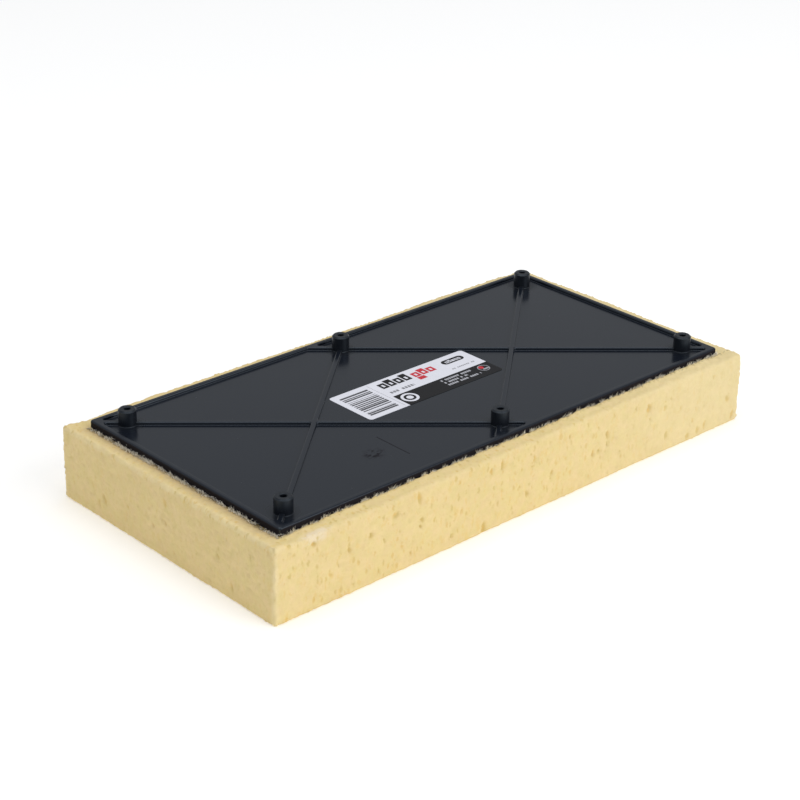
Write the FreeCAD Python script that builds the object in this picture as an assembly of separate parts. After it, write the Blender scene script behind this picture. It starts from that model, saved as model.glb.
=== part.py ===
import FreeCAD, Part
import math
import os

# Spare pad for a sponge float: a foam block glued under a moulded backing plate.
# Units are millimetres. The origin is the centre of the sponge's working face,
# +X runs along the length, +Y across the width and +Z up towards the screw bosses.

# Sponge block
SPONGE_LENGTH = 340.0
SPONGE_WIDTH = 172.0
SPONGE_HEIGHT = 40.0
SPONGE_CORNER_RADIUS = 3.0
SPONGE_TOP_ROUND = 2.5

# Bare foam left round the backing plate
END_MARGIN = 11.0
SIDE_MARGIN = 9.5

# Glue film between the foam and the plate
GLUE_THICKNESS = 0.3
GLUE_INSET = 1.0

# Backing plate: floor, raised rim and diagonal ribs
FLOOR_THICKNESS = 2.4
PLATE_CORNER_RADIUS = 1.8
RIM_WIDTH = 3.2
RIM_HEIGHT = 1.7
RIB_WIDTH = 3.0
OUTER_ROUND = 1.0
EDGE_ROUND = 0.9
FLOOR_FILLET = 0.4
POCKET_CORNER_RADIUS = 1.2

# Six screw bosses, in two rows of three
BOSS_INSET = 14.0
BOSS_DIAMETER = 9.6
BOSS_HEIGHT = 8.9
BOSS_CHAMFER = 0.8
HOLE_DIAMETER = 3.5
HOLE_DEPTH = 8.0
HOLE_CHAMFER = 0.4

# Self-adhesive label on the floor, in the space between the ribs
LABEL_HEIGHT = 33.8
LABEL_THICKNESS = 0.15
LABEL_CORNER_RADIUS = 2.0
LABEL_SHIFT_Y = 0.8
LABEL_RIB_GAP = 0.75
LABEL_LEFT_EXTRA = 1.9

# Worked out from the sizes above
PLATE_LENGTH = SPONGE_LENGTH - 2 * END_MARGIN
PLATE_WIDTH = SPONGE_WIDTH - 2 * SIDE_MARGIN
PLATE_BOTTOM = SPONGE_HEIGHT + GLUE_THICKNESS
FLOOR_TOP = PLATE_BOTTOM + FLOOR_THICKNESS
RIM_TOP = FLOOR_TOP + RIM_HEIGHT
BOSS_TOP = FLOOR_TOP + BOSS_HEIGHT
BOSS_X = PLATE_LENGTH / 2 - BOSS_INSET
BOSS_Y = PLATE_WIDTH / 2 - BOSS_INSET


def rounded_prism(x0, x1, y0, y1, z0, z1, radius):
    """Box between the given corners, with its four upright edges rounded."""
    corner = FreeCAD.Vector(x0, y0, z0)
    block = Part.makeBox(x1 - x0, y1 - y0, z1 - z0, corner)
    upright = []
    for edge in block.Edges:
        low = edge.BoundBox.ZMin
        high = edge.BoundBox.ZMax
        if high - low > (z1 - z0) / 2:
            upright.append(edge)
    return block.makeFillet(radius, upright)


def centred_prism(length, width, z0, z1, radius):
    """The same, centred on the Z axis."""
    return rounded_prism(-length / 2, length / 2, -width / 2, width / 2, z0, z1, radius)


def edges_at(shape, z):
    """Edges that lie wholly in the level plane at height z."""
    found = []
    for edge in shape.Edges:
        box = edge.BoundBox
        if abs(box.ZMin - z) < 1e-4 and abs(box.ZMax - z) < 1e-4:
            found.append(edge)
    return found


def boss_centres():
    """Axes of the six bosses: two rows, with a boss at each end and one midway."""
    centres = []
    for x in (-BOSS_X, 0.0, BOSS_X):
        for y in (-BOSS_Y, BOSS_Y):
            centres.append((x, y))
    return centres


def make_sponge():
    """Foam block with soft upper edges and a flat working face."""
    block = centred_prism(SPONGE_LENGTH, SPONGE_WIDTH, 0.0, SPONGE_HEIGHT, SPONGE_CORNER_RADIUS)
    return block.makeFillet(SPONGE_TOP_ROUND, edges_at(block, SPONGE_HEIGHT))


def make_glue():
    """Thin film that holds the plate on the foam, a little inside the plate's outline."""
    length = PLATE_LENGTH - 2 * GLUE_INSET
    width = PLATE_WIDTH - 2 * GLUE_INSET
    radius = PLATE_CORNER_RADIUS - GLUE_INSET
    return centred_prism(length, width, SPONGE_HEIGHT, PLATE_BOTTOM, radius)


def make_rib(side_x, side_y):
    """Straight rib from a mid boss through the opposite row's end boss, out to the rim."""
    run_x = side_x * BOSS_X
    run_y = -2 * side_y * BOSS_Y
    run = math.hypot(run_x, run_y)
    past = (BOSS_INSET - RIM_WIDTH / 2) * run / min(abs(run_x), abs(run_y))
    bar = Part.makeBox(run + 2 * past, RIB_WIDTH, RIM_HEIGHT, FreeCAD.Vector(-past, -RIB_WIDTH / 2, 0))
    turn = math.degrees(math.atan2(run_y, run_x))
    bar.rotate(FreeCAD.Vector(0, 0, 0), FreeCAD.Vector(0, 0, 1), turn)
    bar.translate(FreeCAD.Vector(0, side_y * BOSS_Y, FLOOR_TOP))
    return bar


def make_ribs():
    """Four diagonal ribs that form two crosses, trimmed to the middle of the rim."""
    ribs = []
    for side_x in (-1, 1):
        for side_y in (-1, 1):
            ribs.append(make_rib(side_x, side_y))
    joined = ribs[0].multiFuse(ribs[1:])
    reach_x = PLATE_LENGTH - RIM_WIDTH
    reach_y = PLATE_WIDTH - RIM_WIDTH
    corner = FreeCAD.Vector(-reach_x / 2, -reach_y / 2, FLOOR_TOP)
    return joined.common(Part.makeBox(reach_x, reach_y, RIM_HEIGHT, corner))


def flat_corners(shape):
    """Upright edges of a hollow where two flat sides meet, away from the bosses."""
    found = []
    for edge in shape.Edges:
        upright = edge.BoundBox.ZMax - edge.BoundBox.ZMin > RIM_HEIGHT / 2
        sides = shape.ancestorsOfType(edge, Part.Face)
        if upright and all(isinstance(side.Surface, Part.Plane) for side in sides):
            found.append(edge)
    return found


def make_pockets():
    """The hollows between rim, ribs and bosses, rounded where they meet the floor."""
    length = PLATE_LENGTH - 2 * RIM_WIDTH
    width = PLATE_WIDTH - 2 * RIM_WIDTH
    corner = FreeCAD.Vector(-length / 2, -width / 2, FLOOR_TOP)
    tray = Part.makeBox(length, width, RIM_HEIGHT, corner)
    keep = [make_ribs()]
    for x, y in boss_centres():
        foot = FreeCAD.Vector(x, y, FLOOR_TOP)
        keep.append(Part.makeCylinder(BOSS_DIAMETER / 2, RIM_HEIGHT, foot))
    hollows = []
    for pocket in tray.cut(keep).Solids:
        pocket = pocket.makeFillet(POCKET_CORNER_RADIUS, flat_corners(pocket))
        hollows.append(pocket.makeFillet(FLOOR_FILLET, edges_at(pocket, FLOOR_TOP)))
    return hollows


def make_boss(x, y):
    """Screw boss with a chamfered top, standing on the floor."""
    foot = FreeCAD.Vector(x, y, FLOOR_TOP - FLOOR_THICKNESS / 2)
    boss = Part.makeCylinder(BOSS_DIAMETER / 2, BOSS_TOP - foot.z, foot)
    return boss.makeChamfer(BOSS_CHAMFER, edges_at(boss, BOSS_TOP))


def make_hole(x, y):
    """Blind pilot hole for a screw, with a small lead-in."""
    radius = HOLE_DIAMETER / 2
    bottom = FreeCAD.Vector(x, y, BOSS_TOP - HOLE_DEPTH)
    hole = Part.makeCylinder(radius, HOLE_DEPTH, bottom)
    mouth = FreeCAD.Vector(x, y, BOSS_TOP - HOLE_CHAMFER)
    lead_in = Part.makeCone(radius, radius + HOLE_CHAMFER, HOLE_CHAMFER, mouth)
    return hole.fuse(lead_in)


def pocket_brims(plate):
    """Upper edges of the pockets, without those that belong to the plate's outline."""
    brims = []
    for edge in edges_at(plate, RIM_TOP):
        box = edge.BoundBox
        reach_x = max(-box.XMin, box.XMax)
        reach_y = max(-box.YMin, box.YMax)
        if reach_x < (PLATE_LENGTH - RIM_WIDTH) / 2 and reach_y < (PLATE_WIDTH - RIM_WIDTH) / 2:
            brims.append(edge)
    return brims


def make_plate():
    """One moulding: floor, rim, ribs and bosses, less the six pilot holes."""
    plate = centred_prism(PLATE_LENGTH, PLATE_WIDTH, PLATE_BOTTOM, RIM_TOP, PLATE_CORNER_RADIUS)
    plate = plate.makeFillet(OUTER_ROUND, edges_at(plate, RIM_TOP))
    plate = plate.cut(make_pockets())
    plate = plate.makeFillet(EDGE_ROUND, pocket_brims(plate))
    bosses = []
    holes = []
    for x, y in boss_centres():
        bosses.append(make_boss(x, y))
        holes.append(make_hole(x, y))
    return plate.multiFuse(bosses).cut(holes).removeSplitter()


def label_right():
    """Where the label's right edge lies, so that its upper corner clears the rib."""
    rib = math.hypot(BOSS_X, 2 * BOSS_Y)
    normal_x = 2 * BOSS_Y / rib
    normal_y = BOSS_X / rib
    corner_y = LABEL_SHIFT_Y + LABEL_HEIGHT / 2 - LABEL_CORNER_RADIUS
    room = BOSS_Y * normal_y - RIB_WIDTH / 2 - LABEL_RIB_GAP - LABEL_CORNER_RADIUS
    return (room - corner_y * normal_y) / normal_x + LABEL_CORNER_RADIUS


def make_label():
    """Self-adhesive label lying on the floor between the ribs."""
    right = label_right()
    left = LABEL_LEFT_EXTRA - right
    low = LABEL_SHIFT_Y - LABEL_HEIGHT / 2
    high = LABEL_SHIFT_Y + LABEL_HEIGHT / 2
    top = FLOOR_TOP + LABEL_THICKNESS
    return rounded_prism(left, right, low, high, FLOOR_TOP, top, LABEL_CORNER_RADIUS)


os.makedirs("parts", exist_ok=True)
make_sponge().exportStep("parts/sponge_pad.step")
make_glue().exportStep("parts/glue_film.step")
make_plate().exportStep("parts/backing_plate.step")
make_label().exportStep("parts/label.step")
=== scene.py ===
import math
import random

import bpy
import numpy as np
from bpy.props import FloatProperty, FloatVectorProperty, IntProperty, PointerProperty
from mathutils import Matrix, Vector, noise
from mathutils.bvhtree import BVHTree


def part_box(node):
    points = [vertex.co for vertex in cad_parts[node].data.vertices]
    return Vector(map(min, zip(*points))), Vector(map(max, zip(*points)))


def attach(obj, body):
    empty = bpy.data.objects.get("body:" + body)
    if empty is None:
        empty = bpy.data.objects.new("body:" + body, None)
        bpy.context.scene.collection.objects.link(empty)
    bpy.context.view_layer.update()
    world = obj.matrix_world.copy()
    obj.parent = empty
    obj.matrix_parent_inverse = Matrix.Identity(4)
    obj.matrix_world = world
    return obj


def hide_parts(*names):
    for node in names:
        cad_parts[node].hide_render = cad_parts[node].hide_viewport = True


bl_info = {
    "name": "Sponge Float Pad",
    "version": (1, 0, 0),
    "blender": (4, 5, 0),
    "location": "View3D > Sidebar > Float Pad",
    "description": "Builds a sponge float's spare pad: foam block, glue, backing plate and label",
    "category": "Object",
}

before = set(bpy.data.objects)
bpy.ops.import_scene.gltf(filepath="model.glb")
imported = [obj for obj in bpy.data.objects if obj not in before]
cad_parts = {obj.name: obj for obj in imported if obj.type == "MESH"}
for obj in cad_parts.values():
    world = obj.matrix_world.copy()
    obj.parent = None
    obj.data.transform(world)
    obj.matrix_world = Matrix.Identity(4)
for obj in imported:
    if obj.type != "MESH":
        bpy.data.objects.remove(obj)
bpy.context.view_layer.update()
MM = 0.001


# ---------------------------------------------------------------- sizes and colours


class FoamSettings(bpy.types.PropertyGroup):
    """Shape and colour of the sponge block"""

    edge_radius: FloatProperty(
        name="Upper edge radius", description="Softness of the edges round the top",
        default=1.9 * MM, unit="LENGTH", precision=4)
    corner_radius: FloatProperty(
        name="Corner radius", description="Rounding of the four upright corners",
        default=1.3 * MM, unit="LENGTH", precision=4)
    foot_radius: FloatProperty(
        name="Lower edge radius", description="Rounding where the sides meet the working face",
        default=1.2 * MM, unit="LENGTH", precision=4)
    waviness: FloatProperty(
        name="Waviness", description="How far the cut faces wander from flat",
        default=0.75 * MM, unit="LENGTH", precision=4)
    grain: FloatProperty(
        name="Grain", description="Height of the open-cell texture that is modelled",
        default=0.38 * MM, unit="LENGTH", precision=4)
    end_lip: FloatProperty(
        name="End lip", description="How far the outer edge stands up at the -X end",
        default=1.5 * MM, unit="LENGTH", precision=4)
    side_bank: FloatProperty(
        name="Side bank", description="How far the foam banks up against the plate's long sides",
        default=1.5 * MM, unit="LENGTH", precision=4)
    pore_count: IntProperty(
        name="Pores", description="Large pores opened by the cut, over all four sides",
        default=190, min=0)
    fibre_count: IntProperty(
        name="Fibres", description="Torn fibres that stand up against the plate",
        default=7500, min=1)
    light: FloatVectorProperty(
        name="Foam", description="Colour of the foam's skin", subtype="COLOR",
        default=(0.880, 0.690, 0.368), min=0.0, max=1.0)
    yellow: FloatVectorProperty(
        name="Yellow foam", description="Colour the skin drifts to in patches", subtype="COLOR",
        default=(0.850, 0.690, 0.335), min=0.0, max=1.0)
    faded: FloatVectorProperty(
        name="Faded foam", description="Colour the skin fades to at the +X end", subtype="COLOR",
        default=(0.865, 0.735, 0.44), min=0.0, max=1.0)
    # Painted highlight: paler colour along the rounded edges, where they catch the light.
    edge_highlight: FloatVectorProperty(
        name="Worn edges", description="Paler colour along the rubbed edges", subtype="COLOR",
        default=(0.94, 0.79, 0.47), min=0.0, max=1.0)
    # Painted shade mixed with dirt: darker colour in the trough beside the plate's -X end.
    trough_shade: FloatVectorProperty(
        name="Trough", description="Colour of the margin beside the plate at the -X end",
        subtype="COLOR", default=(0.56, 0.42, 0.225), min=0.0, max=1.0)
    dark: FloatVectorProperty(
        name="Pore shade", description="Colour inside the pores", subtype="COLOR",
        default=(0.69, 0.42, 0.08), min=0.0, max=1.0)
    olive: FloatVectorProperty(
        name="Shaded pores", description="Colour of the pores that lie deeper in shade",
        subtype="COLOR", default=(0.55, 0.39, 0.09), min=0.0, max=1.0)
    stain: FloatVectorProperty(
        name="Stains", description="Colour of the faint stains", subtype="COLOR",
        default=(0.80, 0.57, 0.20), min=0.0, max=1.0)
    # Painted contact shadow mixed with dirt, at the foot of the plate.
    soil_and_shade: FloatVectorProperty(
        name="Soil", description="Colour of the grime at the foot of the plate", subtype="COLOR",
        default=(0.055, 0.042, 0.026), min=0.0, max=1.0)
    fibre: FloatVectorProperty(
        name="Fibre colour", description="Colour of the torn fibres", subtype="COLOR",
        default=(0.95, 0.90, 0.77), min=0.0, max=1.0)


class GlueSettings(bpy.types.PropertyGroup):
    """Dried glue squeezed out along the foot of the plate"""

    bead_size: FloatProperty(
        name="Bead size", description="Usual half width of a bead", default=0.22 * MM,
        unit="LENGTH", precision=5)
    bead_count: IntProperty(
        name="Beads", description="Number of beads, nearly all at the -X end", default=300, min=1)
    colour: FloatVectorProperty(
        name="Glue", description="Colour of the dried glue", subtype="COLOR",
        default=(0.62, 0.60, 0.56), min=0.0, max=1.0)


class PlateSettings(bpy.types.PropertyGroup):
    """Finish of the moulded backing plate"""

    # Painted reflection in part: the blue in this colour stands in for the bluish reflection on the
    # plate's floor.
    colour: FloatVectorProperty(
        name="Plastic", description="Colour of the moulded plastic", subtype="COLOR",
        default=(0.0066, 0.0088, 0.0148), min=0.0, max=1.0)
    dust: FloatVectorProperty(
        name="Dust", description="Colour of dust and rubbed marks", subtype="COLOR",
        default=(0.075, 0.08, 0.09), min=0.0, max=1.0)
    # Dull finish of the scuff and the scratch, also used as painted shade at the foot of the
    # plate's outer wall.
    soil_and_shade: FloatVectorProperty(
        name="Dulled plastic", description="Colour where the shine is lost", subtype="COLOR",
        default=(0.012, 0.010, 0.014), min=0.0, max=1.0)


class LabelSettings(bpy.types.PropertyGroup):
    """Print on the label"""

    paper: FloatVectorProperty(
        name="Paper", description="Colour of the unprinted film", subtype="COLOR",
        default=(0.84, 0.85, 0.93), min=0.0, max=1.0)
    ink: FloatVectorProperty(
        name="Black ink", description="Colour of the band and the bars", subtype="COLOR",
        default=(0.009, 0.009, 0.011), min=0.0, max=1.0)
    accent: FloatVectorProperty(
        name="Red ink", description="Colour of the accents", subtype="COLOR",
        default=(0.60, 0.035, 0.055), min=0.0, max=1.0)


class StageSettings(bpy.types.PropertyGroup):
    """Floor, lights and camera"""

    floor: FloatVectorProperty(
        name="Floor", description="Colour of the floor", subtype="COLOR",
        default=(0.93, 0.93, 0.93), min=0.0, max=1.0)
    lens: FloatProperty(
        name="Focal length", description="Focal length in millimetres on a 36 mm sensor",
        default=89.1, min=1.0)
    camera_place: FloatVectorProperty(
        name="Camera place", description="Where the camera stands", subtype="TRANSLATION",
        default=(-0.66676, -0.69851, 0.49087), precision=5)
    camera_shift: FloatVectorProperty(
        name="Camera shift", description="How far the picture is slid across the sensor",
        size=2, default=(0.0020, 0.0009), precision=4)
    camera_turn: FloatVectorProperty(
        name="Camera turn", description="Tilt, roll and heading of the camera", subtype="EULER",
        default=(math.radians(64.636), math.radians(-0.873), math.radians(-42.666)))


# ---------------------------------------------------------------- places of single marks

# How far the screw bosses stand in from the plate's outline.
BOSS_INSET = 14 * MM

# A dull scuff and a fine scratch on the plate's floor: centre, and half length each way.
SCUFF_PLACE = Vector((-72.0, -45.5)) * MM
SCUFF_REACH = Vector((9.0, 7.0)) * MM
SCRATCH_PLACE = Vector((-58.6, -44.8)) * MM
SCRATCH_REACH = Vector((0.35, 12.5)) * MM

# A pale smear on the sponge's upper -Y edge, near the -X corner.
SMEAR_PLACE = Vector((-144.0, -84.2)) * MM
SMEAR_REACH = Vector((13.0, 3.0)) * MM

# The thickest glue, along the plate's -X edge.
CLUMP_Y = -31 * MM
CLUMP_REACH = 5 * MM


# ---------------------------------------------------------------- shader helpers


class Value:
    """A number socket that arithmetic can be written on: each operation adds one Math node."""

    def __init__(self, paint, socket):
        self.paint = paint
        self.socket = socket

    def math(self, operation, *others, swap=False):
        """Adds a Math node; swap puts this value last, for the reflected operators."""
        inputs = [self, *others]
        if swap:
            inputs.reverse()
        return self.paint.node("ShaderNodeMath", {"operation": operation}, dict(enumerate(inputs)))

    def __add__(self, other):
        return self.math("ADD", other)

    def __sub__(self, other):
        return self.math("SUBTRACT", other)

    def __mul__(self, other):
        return self.math("MULTIPLY", other)

    def __truediv__(self, other):
        return self.math("DIVIDE", other)

    def __gt__(self, other):
        return self.math("GREATER_THAN", other)

    def __lt__(self, other):
        return self.math("LESS_THAN", other)

    def __radd__(self, other):
        return self.math("ADD", other, swap=True)

    def __rsub__(self, other):
        return self.math("SUBTRACT", other, swap=True)

    def __rmul__(self, other):
        return self.math("MULTIPLY", other, swap=True)

    def __rtruediv__(self, other):
        return self.math("DIVIDE", other, swap=True)

    def __abs__(self):
        return self.math("ABSOLUTE")

    def floor(self):
        return self.math("FLOOR")

    def root(self):
        return self.math("SQRT")

    def at_least(self, other):
        return self.math("MAXIMUM", other)

    def at_most(self, other):
        return self.math("MINIMUM", other)

    def across(self, other):
        """Straight distance made up of two distances at right angles."""
        return (self * self + other * other).root()

    def ramp(self, start, end):
        """0 up to start and 1 from end on, with a smooth rise between."""
        settings = {"interpolation_type": "SMOOTHSTEP"}
        return self.paint.node("ShaderNodeMapRange", settings, {0: self, 1: start, 2: end})


class Paint:
    """One node material, with its shader and the ways its nodes are added."""

    def __init__(self, name, **constants):
        self.material = bpy.data.materials.new(name)
        self.material.use_nodes = True
        self.tree = self.material.node_tree
        self.shader = self.tree.nodes["Principled BSDF"]
        for socket, value in constants.items():
            self.shader.inputs[socket.replace("_", " ")].default_value = value

    def node(self, kind, settings=None, inputs=None, output=0):
        """Adds a node; inputs maps a socket's name or number to a number, a colour or a link."""
        node = self.tree.nodes.new(kind)
        for setting, value in (settings or {}).items():
            setattr(node, setting, value)
        for socket, value in (inputs or {}).items():
            if isinstance(value, Value):
                self.tree.links.new(value.socket, node.inputs[socket])
            else:
                node.inputs[socket].default_value = value
        return Value(self, node.outputs[output])

    def feed(self, **links):
        """Links what varies over the surface to the shader's own sockets."""
        for socket, value in links.items():
            self.tree.links.new(value.socket, self.shader.inputs[socket.replace("_", " ")])

    def place(self):
        """The point on the object, in metres."""
        return self.node("ShaderNodeTexCoord", output="Object")

    def parts(self, vector):
        """The three numbers of a vector."""
        split = self.node("ShaderNodeSeparateXYZ", None, {0: vector})
        node = split.socket.node
        return [Value(self, node.outputs[i]) for i in range(3)]

    def stretch(self, vector, factors):
        """A place with each of its numbers multiplied, to draw a pattern out or press it flat."""
        return self.node("ShaderNodeVectorMath", {"operation": "MULTIPLY"}, {0: vector, 1: factors})

    def attribute(self, name):
        """A number that is stored on the mesh."""
        return self.node("ShaderNodeAttribute", {"attribute_name": name}, None, "Fac")

    def clouds(self, vector, size, detail=2.0, roughness=0.5, output="Fac"):
        """Soft noise about 0.5, with features of about the given size in metres."""
        inputs = {"Vector": vector, "Scale": 1.0 / size, "Detail": detail, "Roughness": roughness}
        return self.node("ShaderNodeTexNoise", None, inputs, output)

    def cells(self, vector, size, output="Distance"):
        """Distance to, or random colour of, the nearest of scattered points."""
        inputs = {"Vector": vector, "Scale": 1.0 / size}
        return self.node("ShaderNodeTexVoronoi", None, inputs, output)

    def mix(self, factor, first, second, blend="MIX"):
        """Colour that goes from first to second."""
        settings = {"data_type": "RGBA", "blend_type": blend}
        inputs = {0: factor, 6: first, 7: second}
        return self.node("ShaderNodeMix", settings, inputs, 2)

    def bump(self, height, depth, strength=1.0):
        """Relief of the given depth in metres."""
        inputs = {"Height": height, "Distance": depth, "Strength": strength}
        return self.node("ShaderNodeBump", None, inputs)

    def dull(self, factor, **constants):
        """Blends towards a second, duller finish where factor rises; call it last."""
        other = self.tree.nodes.new("ShaderNodeBsdfPrincipled")
        for socket, value in constants.items():
            other.inputs[socket.replace("_", " ")].default_value = value
        inputs = {1: Value(self, self.shader.outputs[0]), 2: Value(self, other.outputs[0])}
        blend = self.node("ShaderNodeMixShader", None, {0: factor, **inputs})
        self.tree.links.new(blend.socket, self.tree.nodes["Material Output"].inputs["Surface"])

    def wear(self, piece):
        """Makes this the only material of a piece."""
        piece.data.materials.clear()
        piece.data.materials.append(self.material)


def opaque(colour):
    """A colour socket's value from three numbers."""
    return (*colour, 1.0)


# ---------------------------------------------------------------- mesh helpers


def deselect():
    """Leaves nothing selected, so an operator acts only on what is made next."""
    if bpy.context.object and bpy.context.object.mode != "OBJECT":
        bpy.ops.object.mode_set(mode="OBJECT")
    bpy.ops.object.select_all(action="DESELECT")


def divide_along(piece, axis, count):
    """Cuts every edge of a block that runs along an axis into equal lengths."""
    points = points_of(piece)
    ends = np.empty(len(piece.data.edges) * 2, dtype=np.int32)
    piece.data.edges.foreach_get("vertices", ends)
    ends = ends.reshape(-1, 2)
    run = np.abs(points[ends[:, 0]] - points[ends[:, 1]])
    bpy.ops.object.mode_set(mode="EDIT")
    bpy.ops.mesh.select_mode(type="EDGE")
    bpy.ops.mesh.select_all(action="DESELECT")
    bpy.ops.object.mode_set(mode="OBJECT")
    piece.data.edges.foreach_set("select", run[:, axis] > 0.5 * run.sum(axis=1))
    bpy.ops.object.mode_set(mode="EDIT")
    bpy.ops.mesh.subdivide(number_cuts=count - 1)
    bpy.ops.object.mode_set(mode="OBJECT")


def points_of(piece):
    """A piece's vertices as an array."""
    points = np.empty(len(piece.data.vertices) * 3)
    piece.data.vertices.foreach_get("co", points)
    return points.reshape(-1, 3)


def smooth(share):
    """Smooth rise from 0 to 1 as the share goes from 0 to 1."""
    share = np.clip(share, 0.0, 1.0)
    return share * share * (3.0 - 2.0 * share)


def wander(points, size, offset):
    """Smooth noise between about -1 and 1 at each point."""
    shift = Vector((offset, 2.0 * offset, 3.0 * offset))
    found = [noise.noise(Vector(point) / size + shift) for point in points]
    return np.array(found)


def outline_walk(low, high, share):
    """Point and heading a share of the way round an outline, first along its -Y side towards +X."""
    length = high.x - low.x
    width = high.y - low.y
    way = share * 2 * (length + width)
    if way < length:
        return Vector((low.x + way, low.y, 0)), 0.0
    way -= length
    if way < width:
        return Vector((high.x, low.y + way, 0)), math.pi / 2
    way -= width
    if way < length:
        return Vector((high.x - way, high.y, 0)), math.pi
    way -= length
    return Vector((low.x, high.y - way, 0)), -math.pi / 2


# ---------------------------------------------------------------- sponge block


def round_off(points, low, high, settings):
    """Rounds the block's edges; returns the new points and the outward directions.

    The radius runs from the foot's to the corners' just above the working face, and from the
    corners' to the upper edge's over the block's upper part.
    """
    height = (points[:, 2] - low.z) / (high.z - low.z)
    upper = np.clip((height - 0.75) / 0.2, 0.0, 1.0)
    radius = settings.corner_radius + (settings.edge_radius - settings.corner_radius) * upper
    lower = np.clip((0.12 - height) / 0.1, 0.0, 1.0)
    radius = radius + (settings.foot_radius - radius) * lower
    radius = radius[:, None]
    inner = np.clip(points, np.array(low) + radius, np.array(high) - radius)
    away = points - inner
    reach = np.linalg.norm(away, axis=1, keepdims=True)
    away = away / np.maximum(reach, 1e-9)
    return inner + away * radius, away


def scatter_pores(low, high, count, draw):
    """Large pores on the four sides: the axis they face, side, place, size, lean and depth."""
    pores = []
    length = high.x - low.x
    width = high.y - low.y
    on_long_sides = 0.84
    corners_kept_clear = 8 * MM
    for _ in range(count):
        axis = 1 if draw.random() < on_long_sides else 0
        reach = length if axis else width
        side = draw.choice((-1, 1))
        along = (draw.random() - 0.5) * (reach - corners_kept_clear)
        up = low.z + (0.06 + 0.86 * draw.random()) * (high.z - low.z)
        half_width = (0.55 + 0.95 * draw.random() ** 2) * MM
        half_height = half_width * draw.uniform(1.1, 2.8)
        lean = draw.uniform(-0.5, 0.15)
        depth = half_width * draw.uniform(0.5, 1.4)
        pores.append((axis, side, along, up, half_width, half_height, lean, depth))
    return pores


def pore_shapes(points, away, pores):
    """How deep the pores go at each point, and how dark their painted shade is there: ragged ovals.
    """
    depth = np.zeros(len(points))
    shade = np.zeros(len(points))
    ragged = 1.0 + 0.55 * wander(points, 1.9 * MM, 2.2)
    for axis, side, along, up, half_width, half_height, lean, deep in pores:
        across = points[:, 1 - axis] - along
        rise = points[:, 2] - up
        across = across + lean * rise
        reach = (across / half_width) ** 2 + (rise / half_height) ** 2
        facing = away[:, axis] * side > 0.7
        form = np.exp(-(reach * ragged) ** 1.4) * facing
        depth = np.maximum(depth, form * deep)
        shade = np.maximum(shade, form * min(1.0, deep / MM))
    return depth, shade


def fibre_mesh(block, count, draw):
    """Torn fibres on the margin, all round the foot of the plate: thin leaning spikes."""
    low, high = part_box("backing_plate")
    surface = BVHTree.FromObject(block, bpy.context.evaluated_depsgraph_get())
    tuft_size = 3.5 * MM
    start_above = 5 * MM
    sunk = 0.3 * MM
    corners = []
    faces = []
    while len(corners) < 4 * count:
        point, heading = outline_walk(low, high, draw.random())
        at_end = abs(math.sin(heading)) > 0.5
        tuft = noise.noise(point / tuft_size) * 1.3 + (0.65 if at_end else 0.5)
        if draw.random() > tuft:
            continue
        along = Vector((math.cos(heading), math.sin(heading), 0))
        out = Vector((along.y, -along.x, 0))
        far = abs(draw.gauss(0, 1.1 if at_end else 0.7))
        root = point + out * (0.05 + far) * MM
        root.z = high.z + start_above
        root.z = surface.ray_cast(root, Vector((0, 0, -1)))[0].z - sunk
        rise = (0.35 + 1.5 * draw.random() ** 2 * min(1.0, tuft + 0.2)) * (1.3 - 0.2 * far) * MM
        rise *= 1.3 if at_end else 1.6
        tip = root + along * draw.gauss(0, 0.45) * rise + out * draw.uniform(-0.1, 0.4) * rise
        tip.z += rise
        thick = draw.uniform(0.10, 0.24) * (1.5 if at_end else 1.0) * MM
        first = len(corners)
        for turn in range(3):
            angle = turn * math.tau / 3
            corners.append(root + thick * (along * math.cos(angle) + out * math.sin(angle)))
        corners.append(tip)
        faces += [(first + a, first + b, first + 3) for a, b in ((1, 0), (2, 1), (0, 2))]
        faces.append((first, first + 1, first + 2))
    mesh = bpy.data.meshes.new("fibres")
    mesh.from_pydata(corners, [], faces)
    mark = mesh.attributes.new("fibre", "FLOAT", "POINT")
    strength = [0.5 * noise.noise(corner / (2 * MM)) + 0.7 for corner in corners]
    mark.data.foreach_set("value", np.clip(strength, 0.1, 1.0))
    return mesh


def raise_margin(points, away, settings):
    """Height added to the bare margin: a lip at the ends, mostly at -X, and a bank at the sides."""
    low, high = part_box("backing_plate")
    past_x = np.maximum(low.x - points[:, 0], points[:, 0] - high.x)
    past_y = np.maximum(low.y - points[:, 1], points[:, 1] - high.y)
    left = np.where(points[:, 0] < 0.0, 1.0, 0.25)
    lip = settings.end_lip * left * smooth(past_x / (7.0 * MM))
    fall = 1.0 - 0.6 * smooth(past_y / (8.0 * MM))
    bank = settings.side_bank * fall * smooth(past_y / (0.8 * MM))
    from_corner = smooth(-past_x / (14.0 * MM))
    uneven = 1.0 + 0.35 * wander(points, 14 * MM, 9.3)
    raised = np.maximum(lip, bank * (0.35 * left + (1.0 - 0.35 * left) * from_corner)) * uneven
    return raised * np.clip(away[:, 2] * 2.0, 0.0, 1.0)


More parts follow.
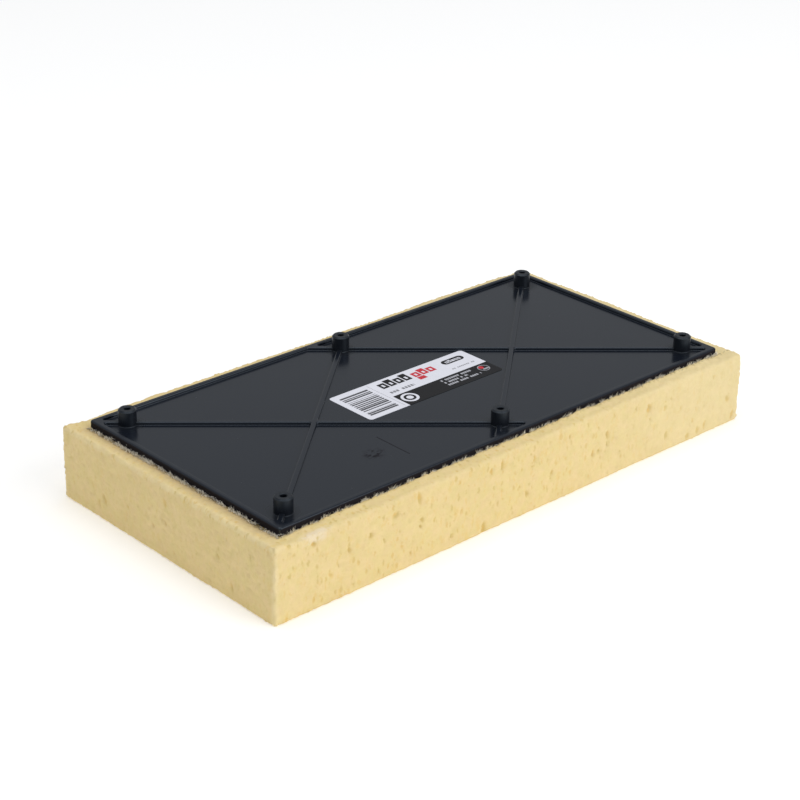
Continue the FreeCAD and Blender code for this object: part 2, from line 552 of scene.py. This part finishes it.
class FoamGround:
    """Where each point of the foam lies, and the noises that its colours share."""

    def __init__(self, paint):
        self.place = paint.place()
        self.x, self.y, self.z = paint.parts(self.place)
        self.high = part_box("sponge_pad")[1]
        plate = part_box("backing_plate")[1]
        self.past_end = abs(self.x) - plate.x
        self.past_side = abs(self.y) - plate.y

        # Masks of the upper face, the end faces and the -X margin, and how open the pores look.
        self.top = self.z.ramp(self.high.z - 3 * MM, self.high.z - MM)
        self.end_face = (abs(self.x) > self.high.x - 3 * MM) * (1.0 - self.top)
        self.left_margin = (self.x < 0.0) * self.top * (self.past_end > 0.0)
        self.fresh = 1.0 - self.x.ramp(-20 * MM, 130 * MM) * 0.6

        # The same places shifted a little at random, so that patterns get torn outlines.
        drift = paint.clouds(self.place, 1.25 * MM, output="Color")
        shifted = {0: drift, 1: (1.5 * MM,) * 3, 2: self.place}
        self.torn = paint.node("ShaderNodeVectorMath", {"operation": "MULTIPLY_ADD"}, shifted)
        self.drawn_out = paint.stretch(self.torn, (1.0, 1.0, 0.5))
        self.ragged = (paint.clouds(self.place, 1.4 * MM, 3.0, 0.7) - 0.5) * 3.2 * MM
        self.mottle = paint.clouds(self.torn, 2.4 * MM, 3.0, 0.6)
        self.patchy = paint.clouds(self.place, 7 * MM).ramp(0.25, 0.65)


def foam_skin(paint, at, settings):
    """Colour of the bare foam: soft patches, a painted highlight along the rounded edges, and
    painted shade mixed with dirt in the trough at the -X end.
    """
    hue = paint.clouds(at.torn, 6 * MM, 3.0, 0.6)
    skin = paint.mix(hue.ramp(0.3, 0.7), opaque(settings.light), opaque(settings.yellow))
    skin = paint.mix(at.x.ramp(0.0, at.high.x) * 0.55, skin, opaque(settings.faded))
    tone = (paint.clouds(at.place, 22 * MM) - 0.5) * 0.45 + (at.mottle - 0.5) * 0.6 + 0.5
    shade = paint.mix(tone.ramp(0.1, 0.9), opaque((0.90, 0.89, 0.85)), opaque((1.0, 1.0, 1.0)))
    skin = paint.mix(1.0, skin, shade, "MULTIPLY")

    # Of the distances to the three outer faces, the middle one is the distance to an edge. The
    # upper face is taken a little high, because the margin is raised.
    near_x = at.high.x - abs(at.x)
    near_y = at.high.y - abs(at.y)
    near_z = at.high.z + MM - at.z
    from_edge = near_x.at_most(near_y).at_least(near_x.at_least(near_y).at_most(near_z))
    # Painted highlight along the rounded edges, where they catch the light; full strength only at
    # the -X end.
    edge_highlight = 1.0 - (from_edge + at.ragged * 0.5).ramp(0.5 * MM, 3.2 * MM)
    edge_highlight = edge_highlight * (1.0 - at.x.ramp(-168 * MM, -145 * MM) * 0.7)
    skin = paint.mix(edge_highlight * (0.15 + at.patchy * 0.45), skin, opaque(settings.edge_highlight))

    # Painted shade mixed with dirt in the trough between the -X lip and the plate, fading towards
    # the corners.
    off_corner = 1.0 - at.past_side.ramp(-6 * MM, 3 * MM)
    trough_shade = 1.0 - (at.past_end + at.ragged).ramp(1.5 * MM, 10.5 * MM)
    return paint.mix(trough_shade * at.left_margin * off_corner * 0.9, skin, opaque(settings.trough_shade))


def foam_pores(paint, at, skin, settings):
    """Stains, and pores darkened with painted shade; also returns where the small pores are, for
    the relief.
    """
    stain = paint.clouds(at.drawn_out, 3.2 * MM, 2.0, 0.6).ramp(0.54, 0.72)
    skin = paint.mix(stain * (0.42 - at.end_face * 0.2) * at.fresh, skin, opaque(settings.stain))
    pore_pitch = 2.8 * MM
    near = paint.cells(at.drawn_out, pore_pitch)
    draw = paint.parts(paint.cells(at.drawn_out, pore_pitch, "Color"))
    small = 1.0 - (near - (draw[0] - 0.36) * 0.46).ramp(-0.08, 0.22)
    dots = 1.0 - paint.cells(paint.stretch(at.torn, (1.0, 1.0, 0.7)), 1.9 * MM).ramp(0.0, 0.36)
    large = paint.attribute("pore").ramp(0.05, 0.8) * (1.0 - at.end_face * 0.4)
    opened = small * (0.68 - at.end_face * 0.45) * at.fresh
    hollow = opened.at_least(large).at_least(dots * 0.22)
    # Painted shade inside the pores: orange and olive, darker than the skin.
    inside = paint.mix(draw[1].ramp(0.3, 0.7), opaque(settings.dark), opaque(settings.olive))
    return paint.mix(hollow * (0.2 + at.fresh * 0.36), skin, inside), small


def foam_dirt_and_shade(paint, at, colour, settings):
    """A pale smear near one corner, and painted contact shadow mixed with dirt at the foot of the
    plate.
    """
    smear_x = (at.x - SMEAR_PLACE.x) / SMEAR_REACH.x
    smear_y = (at.y - SMEAR_PLACE.y) / SMEAR_REACH.y
    smear = 1.0 - smear_x.across(smear_y).ramp(0.3, 1.0)
    smear = smear * at.z.ramp(at.high.z - 5 * MM, at.high.z - 3 * MM) * at.mottle.ramp(0.3, 0.5)
    colour = paint.mix(smear * 0.42, colour, opaque((0.94, 0.84, 0.75)))

    # Painted contact shadow mixed with dirt: dark at the foot of the plate's -X end, and in flecks
    # beside its long sides, more towards +X.
    at_foot = 1.0 - (at.past_end + at.ragged * 1.3).ramp(0.3 * MM, 3.6 * MM)
    at_foot = at_foot * at.left_margin * (at.past_side < 0.0)
    beside = 1.0 - (at.past_side + at.ragged * 0.6).ramp(0.8 * MM, 4.0 * MM)
    beside = beside * (at.past_side > 0.0) * at.top
    specks = beside * paint.clouds(at.torn, 1.6 * MM, 2.0, 0.6).ramp(0.5, 0.64)
    specks = specks * at.x.ramp(-60 * MM, 60 * MM)
    grime_and_shade = (at_foot * (0.4 + at.patchy * 0.6)).at_least(specks * 0.6)
    return paint.mix(grime_and_shade * 0.8, colour, opaque(settings.soil_and_shade))


def foam_paint(settings):
    """Open-cell foam: patchy skin with a painted highlight on its edges, pores with painted shade,
    painted contact shadow mixed with dirt by the plate, and pale torn fibres.
    """
    paint = Paint("foam", Roughness=0.95, Specular_IOR_Level=0.15)
    at = FoamGround(paint)
    skin = foam_skin(paint, at, settings)
    porous, small_pores = foam_pores(paint, at, skin, settings)
    colour = foam_dirt_and_shade(paint, at, porous, settings)
    colour = paint.mix(paint.attribute("fibre"), colour, opaque(settings.fibre))
    relief = at.mottle * 0.7 - small_pores * 0.25
    paint.feed(Base_Color=colour, Normal=paint.bump(relief, 0.5 * MM, 0.6))
    return paint


def start_block(low, high):
    """A block of the sponge's size, with every face cut into squares of about 1.2 mm."""
    coarse_squares = (17, 9, 2)
    halvings = 4
    deselect()
    bpy.ops.mesh.primitive_cube_add(size=1.0, location=(low + high) / 2, scale=high - low)
    block = bpy.context.object
    block.name = "sponge"
    bpy.ops.object.transform_apply(location=True, rotation=True, scale=True)
    for axis, count in enumerate(coarse_squares):
        divide_along(block, axis, count)
    finer = block.modifiers.new("finer", "SUBSURF")
    finer.subdivision_type = "SIMPLE"
    finer.levels = halvings
    bpy.ops.object.modifier_apply(modifier=finer.name)
    return block


def under_plate(points):
    """Which points lie under the backing plate."""
    low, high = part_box("backing_plate")
    inside_x = (points[:, 0] > low.x) & (points[:, 0] < high.x)
    inside_y = (points[:, 1] > low.y) & (points[:, 1] < high.y)
    return inside_x & inside_y


def shape_foam(block, low, high, settings, draw):
    """Moves the block's points to give it soft edges, uneven faces, a raised margin and pores.

    The working face stays flat, and nothing under the plate rises above the block's own top.
    """
    points, away = round_off(points_of(block), low, high, settings)
    pores = scatter_pores(low, high, settings.pore_count, draw)
    depth, shade = pore_shapes(points, away, pores)
    raised = raise_margin(points, away, settings)
    level = wander(points, 45 * MM, 1.7) * settings.waviness
    level += wander(points, 11 * MM, 4.1) * 0.35 * settings.waviness
    level += wander(points, 2.4 * MM, 7.9) * settings.grain
    level += np.array([draw.gauss(0, 0.18) for _ in level]) * MM
    off_floor = np.clip((points[:, 2] - low.z) / (2.0 * MM), 0.0, 1.0)
    pushed = away * (level - depth)[:, None]
    pushed[:, 2] *= off_floor
    points += pushed
    points[:, 2] += raised
    points[:, 2] = np.maximum(points[:, 2], low.z)
    pressed_flat = np.minimum(points[:, 2], high.z - 0.05 * MM)
    points[:, 2] = np.where(under_plate(points), pressed_flat, points[:, 2])
    block.data.vertices.foreach_set("co", points.ravel())
    # The pores' painted shade, kept on the mesh for the material.
    mark = block.data.attributes.new("pore", "FLOAT", "POINT")
    mark.data.foreach_set("value", shade)
    block.data.update()


class PAD_OT_sponge(bpy.types.Operator):
    """Model the foam block with its soft edges, raised margin, opened pores and torn fibres"""

    bl_idname = "pad.sponge"
    bl_label = "Sponge block"

    def execute(self, context):
        settings = context.scene.pad_foam
        low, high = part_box("sponge_pad")
        draw = random.Random(17)
        block = start_block(low, high)
        shape_foam(block, low, high, settings, draw)
        fibres = fibre_mesh(block, settings.fibre_count, draw)
        loose = bpy.data.objects.new("fibres", fibres)
        context.collection.objects.link(loose)
        loose.select_set(True)
        bpy.ops.object.join()
        bpy.ops.object.shade_smooth()
        foam_paint(settings).wear(block)
        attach(block, "root")
        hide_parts("sponge_pad")
        return {"FINISHED"}


# ---------------------------------------------------------------- glue


def glue_paint(settings):
    """Dried contact glue: off-white, clouded, with a dull shine."""
    paint = Paint("glue", Roughness=0.55, Specular_IOR_Level=0.4)
    place = paint.place()
    cloud = paint.clouds(place, 1.5 * MM, 3.0)
    colour = paint.mix(cloud, opaque(c * 0.72 for c in settings.colour), opaque(settings.colour))
    paint.feed(Base_Color=colour, Normal=paint.bump(paint.clouds(place, 0.5 * MM), 0.2 * MM, 0.6))
    return paint


def model_bead(size, seed):
    """One lump of glue: a small ball, pulled about so that no two are alike."""
    deselect()
    bpy.ops.mesh.primitive_ico_sphere_add(subdivisions=2, radius=size, location=(0, 0, 0))
    bead = bpy.context.object
    points = points_of(bead)
    points *= 1.0 + 0.45 * wander(points, size * 0.9, 3.3 * seed)[:, None]
    bead.data.vertices.foreach_set("co", points.ravel())
    bead.data.update()
    return bead


def bead_chance(point, low, high):
    """How likely a bead is at a point of the plate's outline: most at the clump, few elsewhere."""
    at_left = point.x < low.x + MM
    near_corner = abs(point.y) > high.y - 8 * MM
    thickest = math.exp(-((point.y - CLUMP_Y) / CLUMP_REACH) ** 2)
    clump = noise.noise(point / (11 * MM)) * 0.8 + 0.08 + 1.2 * thickest
    return clump * (1.0 if at_left and not near_corner else 0.1)


def lay_bead(shape, point, heading, foot, draw):
    """Copies a bead, draws it out along the plate's edge and sets it near the plate's foot."""
    bead = shape.copy()
    bead.data = bead.data.copy()
    bead.name = "glue_bead"
    bpy.context.collection.objects.link(bead)
    stretch = (draw.uniform(0.6, 3.5), draw.uniform(0.4, 0.9), draw.uniform(0.4, 1.3))
    up = foot + abs(draw.gauss(0.2, 0.7)) * MM
    turn = Matrix.Rotation(heading + draw.uniform(-0.15, 0.15), 4, "Z")
    tilt = Matrix.Rotation(draw.gauss(0, 0.4), 4, "Y")
    place = Matrix.Translation(point + Vector((0, 0, up)))
    bead.data.transform(place @ turn @ tilt @ Matrix.Diagonal((*stretch, 1.0)))
    return bead


class PAD_OT_glue(bpy.types.Operator):
    """Lay dried beads of glue along the foot of the plate"""

    bl_idname = "pad.glue"
    bl_label = "Glue beads"

    def execute(self, context):
        settings = context.scene.pad_glue
        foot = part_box("glue_film")[0].z
        low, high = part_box("backing_plate")
        draw = random.Random(5)
        shapes = [model_bead(settings.bead_size, seed) for seed in range(4)]
        beads = []
        while len(beads) < settings.bead_count:
            point, heading = outline_walk(low, high, draw.random())
            if draw.random() > bead_chance(point, low, high):
                continue
            beads.append(lay_bead(draw.choice(shapes), point, heading, foot, draw))
        for shape in shapes:
            bpy.data.objects.remove(shape)
        deselect()
        for bead in beads:
            bead.select_set(True)
        context.view_layer.objects.active = beads[0]
        bpy.ops.object.join()
        lumps = context.object
        lumps.name = "glue_beads"
        bpy.ops.object.shade_smooth()
        paint = glue_paint(settings)
        paint.wear(lumps)
        paint.wear(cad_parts["glue_film"])
        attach(lumps, "root")
        return {"FINISHED"}


# ---------------------------------------------------------------- backing plate


def plate_paint(settings):
    """Black plastic as it leaves the mould: glossy, faintly uneven, duller where it is marked, with
    painted shade as a dull dark finish at the foot of its outer wall.
    """
    paint = Paint("plate_plastic", IOR=1.52, Specular_Tint=(0.75, 0.87, 1.0, 1.0))
    place = paint.place()
    x, y, z = paint.parts(place)
    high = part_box("backing_plate")[1]
    uneven = paint.clouds(place, 70 * MM, 1.0)
    film = paint.clouds(place, 16 * MM, 3.0)
    speck_pitch = 6.5 * MM
    speck_size = paint.parts(paint.cells(place, speck_pitch, "Color"))[1]
    dust = 1.0 - (paint.cells(place, speck_pitch) - (speck_size - 0.8) * 0.15).ramp(0.0, 0.03)

    scuff_x = (x - SCUFF_PLACE.x) / SCUFF_REACH.x
    scuff_y = (y - SCUFF_PLACE.y) / SCUFF_REACH.y
    streaks = paint.clouds(paint.stretch(place, (1.0, 2.6, 1.0)), 3 * MM, 3.0, 0.7)
    scuff = (1.0 - scuff_x.across(scuff_y).ramp(0.2, 1.0)) * streaks.ramp(0.46, 0.58)
    scratch_x = abs(x - SCRATCH_PLACE.x) < SCRATCH_REACH.x
    scratch_y = abs(y - SCRATCH_PLACE.y) < SCRATCH_REACH.y
    # Painted shade: the foot of the outer wall, beside the foam, gets the dull dark finish.
    wall_depth = 0.25 * MM
    wall = (abs(x) - (high.x - wall_depth)).at_least(abs(y) - (high.y - wall_depth)) > 0.0
    foot = wall * (1.0 - z.ramp(high.z - 8.2 * MM, high.z - 7.3 * MM))

    boss_x = abs(x).at_most(abs(abs(x) - (high.x - BOSS_INSET)))
    boss_y = abs(y) - (high.y - BOSS_INSET)
    off_boss = boss_x.across(boss_y).ramp(5 * MM, 11 * MM)
    # Painted shade: a darker colour on and around the bosses.
    colour = paint.mix(off_boss, opaque(c * 0.6 for c in settings.colour), opaque(settings.colour))
    colour = paint.mix(dust * 0.35, colour, opaque(settings.dust))
    shine = 0.4 + (film - 0.5) * 0.08 + dust * 0.2 - off_boss * 0.2
    paint.feed(Base_Color=colour, Roughness=shine, Normal=paint.bump(uneven, 0.35 * MM, 0.2))
    # The scuff and the scratch are real marks; the wall's foot is painted shade.
    dulled_and_shaded = (scuff * 0.95).at_least(scratch_x * scratch_y * 0.75).at_least(foot * 0.93)
    paint.dull(dulled_and_shaded, Base_Color=opaque(settings.soil_and_shade), Roughness=0.8, Specular_IOR_Level=0.1)
    return paint


class PAD_OT_plate(bpy.types.Operator):
    """Give the moulded backing plate its glossy plastic"""

    bl_idname = "pad.plate"
    bl_label = "Backing plate"

    def execute(self, context):
        plate_paint(context.scene.pad_plate).wear(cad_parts["backing_plate"])
        return {"FINISHED"}


# ---------------------------------------------------------------- label


class Print:
    """Flat shapes printed on the label, placed in millimetres from its lower left corner."""

    def __init__(self, paint, low):
        self.paint = paint
        x, y, _ = paint.parts(paint.place())
        self.x = x - low.x
        self.y = y - low.y

    def block(self, left, right, bottom, top):
        """1 inside an upright rectangle."""
        half_x = (right - left) / 2 * MM
        half_y = (top - bottom) / 2 * MM
        off_x = abs(self.x - (left + right) / 2 * MM) < half_x
        off_y = abs(self.y - (bottom + top) / 2 * MM) < half_y
        return off_x * off_y

    def pill(self, left, right, bottom, top):
        """1 inside a rectangle with round ends."""
        radius = (top - bottom) / 2 * MM
        run = (right - left) / 2 * MM - radius
        past = (abs(self.x - (left + right) / 2 * MM) - run).at_least(0.0)
        rise = self.y - (bottom + top) / 2 * MM
        return past.across(rise) < radius

    def disc(self, x, y, radius):
        """1 inside a circle."""
        return (self.x - x * MM).across(self.y - y * MM) < radius * MM

    def chance(self, number):
        """A number from 0 to 1 drawn for each whole number."""
        settings = {"noise_dimensions": "1D"}
        return self.paint.node("ShaderNodeTexWhiteNoise", settings, {"W": number})

    def words(self, left, right, bottom, top, pitch, seed):
        """A line of plain blocks that stands in for lettering; some are tall, some hollow."""
        step = (self.x - left * MM) / (pitch * MM) + seed
        count = step.floor()
        across = step - count
        rise = (self.y - bottom * MM) / ((top - bottom) * MM)
        draw = self.chance(count)
        tall = 0.76 + 0.24 * (draw > 0.6)
        solid = (across < 0.86) * (rise < tall)
        hollow = (abs(across - 0.43) < 0.13) * (abs(rise - 0.38) < 0.17) * (draw > 0.25)
        return self.block(left, right, bottom, top) * solid * (1.0 - hollow)

    def small_words(self, left, right, bottom, top, pitch, seed):
        """A line of short dashes that stands in for small print."""
        step = (self.x - left * MM) / (pitch * MM) + seed
        count = step.floor()
        gap = self.chance(count) < 0.2
        return self.block(left, right, bottom, top) * ((step - count) < 0.74) * (1.0 - gap)

    def bars(self, left, right, bottom, top, pitch):
        """A stack of bars of uneven thickness."""
        step = self.y / (pitch * MM)
        count = step.floor()
        thickness = self.chance(count) * 0.74 + 0.14
        return self.block(left, right, bottom, top) * (step - count < thickness)


def label_band(ink, panel, full, band):
    """The black band, with a ring, small print and a badge left pale; and the badge's red dot."""
    strip = ink.block(panel, full + 1, -1, band)
    ring_x = panel + 6.5
    ring_y = band * 0.53
    ring = ink.disc(ring_x, ring_y, 5.1) * (1.0 - ink.disc(ring_x, ring_y, 3.5))
    pale = ring.at_least(ink.disc(ring_x, ring_y, 2.0))
    lines = ink.small_words(full - 37, full - 13.5, 10.0, 11.7, 1.5, 3.0)
    lines = lines + ink.small_words(full - 37, full - 20.0, 7.0, 8.7, 1.5, 11.0)
    lines = lines + ink.small_words(full - 37, full - 12.5, 4.0, 5.7, 1.5, 23.0)
    badge_x = full - 7.0
    badge_y = band * 0.62
    badge = ink.disc(badge_x, badge_y, 3.6) * (1.0 - ink.disc(badge_x, badge_y, 3.1))
    badge = badge.at_least(ink.pill(full - 8.6, full - 4.4, badge_y - 2.0, badge_y - 0.6))
    badge_dot = ink.disc(full - 7.9, badge_y + 1.2, 1.6)
    return strip * (1.0 - pale.at_least(lines * 0.6).at_least(badge * 0.5)), badge_dot


def label_paint(settings):
    """Satin label: bar stack at the left, black band below, plain blocks in place of words.

    Places are in millimetres from the label's lower left corner: panel is where the printed part
    right of the bars begins, full is the label's length, and band is the black band's height.
    """
    paint = Paint("label_print", Roughness=0.42, Specular_IOR_Level=0.18)
    low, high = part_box("label")
    full = (high.x - low.x) / MM
    panel = 27.9
    band = 13.6
    ink = Print(paint, low)
    dark, badge_dot = label_band(ink, panel, full, band)
    dark = dark.at_least(ink.bars(3.7, 23.3, 3.7, 29.6, 1.85) * 0.9)
    dark = dark.at_least(ink.block(panel - 2.2, panel - 1.9, 1.4, 32.4) * 0.5)
    dark = dark.at_least(ink.words(panel + 2.7, panel + 24.6, 23.6, 31.8, 5.5, 5.0))
    dark = dark.at_least(ink.small_words(panel + 2.2, panel + 19.4, 16.6, 18.8, 2.1, 9.0) * 0.7)
    dark = dark.at_least(ink.small_words(full - 21.2, full - 4.3, 17.7, 18.9, 1.3, 2.0) * 0.6)
    size_badge = ink.pill(full - 20.7, full - 5.0, 24.5, 29.6)
    size_words = ink.words(full - 18.4, full - 7.0, 25.7, 28.6, 2.3, 31.0)
    dark = dark.at_least(size_badge * (1.0 - size_words * 0.8))
    red = ink.words(panel + 26.2, panel + 42.6, 23.6, 30.6, 5.5, 14.0)
    red = red.at_least(ink.block(panel + 26.1, panel + 31.4, 19.6, 23.0)).at_least(badge_dot)
    fade = paint.clouds(paint.place(), 9 * MM, 3.0)
    paper = paint.mix(fade, opaque(c * 0.93 for c in settings.paper), opaque(settings.paper))
    colour = paint.mix(dark, paper, opaque(settings.ink))
    colour = paint.mix(red, colour, opaque(settings.accent))
    crease = paint.clouds(paint.place(), 12 * MM)
    paint.feed(Base_Color=colour, Normal=paint.bump(crease, 0.2 * MM, 0.3))
    return paint


class PAD_OT_label(bpy.types.Operator):
    """Print the label"""

    bl_idname = "pad.label"
    bl_label = "Label"

    def execute(self, context):
        label_paint(context.scene.pad_label).wear(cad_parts["label"])
        return {"FINISHED"}


# ---------------------------------------------------------------- stage


def add_panel_light(name, place, size, power):
    """A square soft light, in metres and watts, that points at the middle of the block."""
    bpy.ops.object.light_add(type="AREA", location=place)
    light = bpy.context.object
    light.name = name
    light.data.size = size
    light.data.energy = power
    low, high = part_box("sponge_pad")
    aim = (low + high) / 2
    light.rotation_euler = (aim - Vector(place)).to_track_quat("-Z", "Y").to_euler()


def floor_paint(settings):
    """Pale studio paper, lit a little from within so that it stays near white."""
    paint = Paint("floor_paper", Roughness=0.9, Specular_IOR_Level=0.2,
                  Emission_Color=(1.0, 1.0, 1.0, 1.0), Emission_Strength=0.26)
    grain = paint.clouds(paint.place(), 400 * MM)
    darker = opaque(c * 0.985 for c in settings.floor)
    paint.feed(Base_Color=paint.mix(grain, darker, opaque(settings.floor)))
    return paint


class PAD_OT_stage(bpy.types.Operator):
    """Set up the floor, the soft lights and the camera"""

    bl_idname = "pad.stage"
    bl_label = "Stage"

    def execute(self, context):
        settings = context.scene.pad_stage
        deselect()
        just_below = -0.05 * MM
        bpy.ops.mesh.primitive_plane_add(size=9.0, location=(0, 0, just_below))
        floor = context.object
        floor.name = "floor"
        floor_paint(settings).wear(floor)
        world = bpy.data.worlds.new("studio")
        world.use_nodes = True
        background = world.node_tree.nodes["Background"]
        background.inputs["Color"].default_value = (0.97, 0.985, 1.0, 1.0)
        background.inputs["Strength"].default_value = 0.42
        context.scene.world = world
        add_panel_light("key", place=(0.7, -2.4, 1.5), size=2.2, power=31.0)
        add_panel_light("top", place=(-0.2, 0.1, 2.6), size=2.4, power=28.0)
        bpy.ops.object.camera_add(location=settings.camera_place, rotation=settings.camera_turn)
        camera = context.object
        camera.data.lens = settings.lens
        camera.data.sensor_width = 36.0
        camera.data.shift_x, camera.data.shift_y = settings.camera_shift
        context.scene.camera = camera
        context.scene.view_settings.view_transform = "Standard"
        return {"FINISHED"}


# ---------------------------------------------------------------- panel and registration


class PAD_PT_sidebar(bpy.types.Panel):
    """Buttons and sizes for the pad"""

    bl_label = "Sponge float pad"
    bl_idname = "PAD_PT_sidebar"
    bl_space_type = "VIEW_3D"
    bl_region_type = "UI"
    bl_category = "Float Pad"

    def draw(self, context):
        for operator, group in STEPS:
            box = self.layout.box()
            box.operator(operator.bl_idname)
            settings = getattr(context.scene, group)
            for name in settings.bl_rna.properties.keys():
                if name not in ("rna_type", "name"):
                    box.prop(settings, name)


GROUPS = (
    ("pad_foam", FoamSettings),
    ("pad_glue", GlueSettings),
    ("pad_plate", PlateSettings),
    ("pad_label", LabelSettings),
    ("pad_stage", StageSettings),
)
STEPS = (
    (PAD_OT_sponge, "pad_foam"),
    (PAD_OT_glue, "pad_glue"),
    (PAD_OT_plate, "pad_plate"),
    (PAD_OT_label, "pad_label"),
    (PAD_OT_stage, "pad_stage"),
)


def register():
    for name, group in GROUPS:
        bpy.utils.register_class(group)
        setattr(bpy.types.Scene, name, PointerProperty(type=group))
    for operator, _ in STEPS:
        bpy.utils.register_class(operator)
    bpy.utils.register_class(PAD_PT_sidebar)


def unregister():
    bpy.utils.unregister_class(PAD_PT_sidebar)
    for operator, _ in reversed(STEPS):
        bpy.utils.unregister_class(operator)
    for name, group in reversed(GROUPS):
        delattr(bpy.types.Scene, name)
        bpy.utils.unregister_class(group)


def main():
    register()
    bpy.ops.pad.sponge()
    bpy.ops.pad.glue()
    bpy.ops.pad.plate()
    bpy.ops.pad.label()
    bpy.ops.pad.stage()


if __name__ == "__main__":
    main()
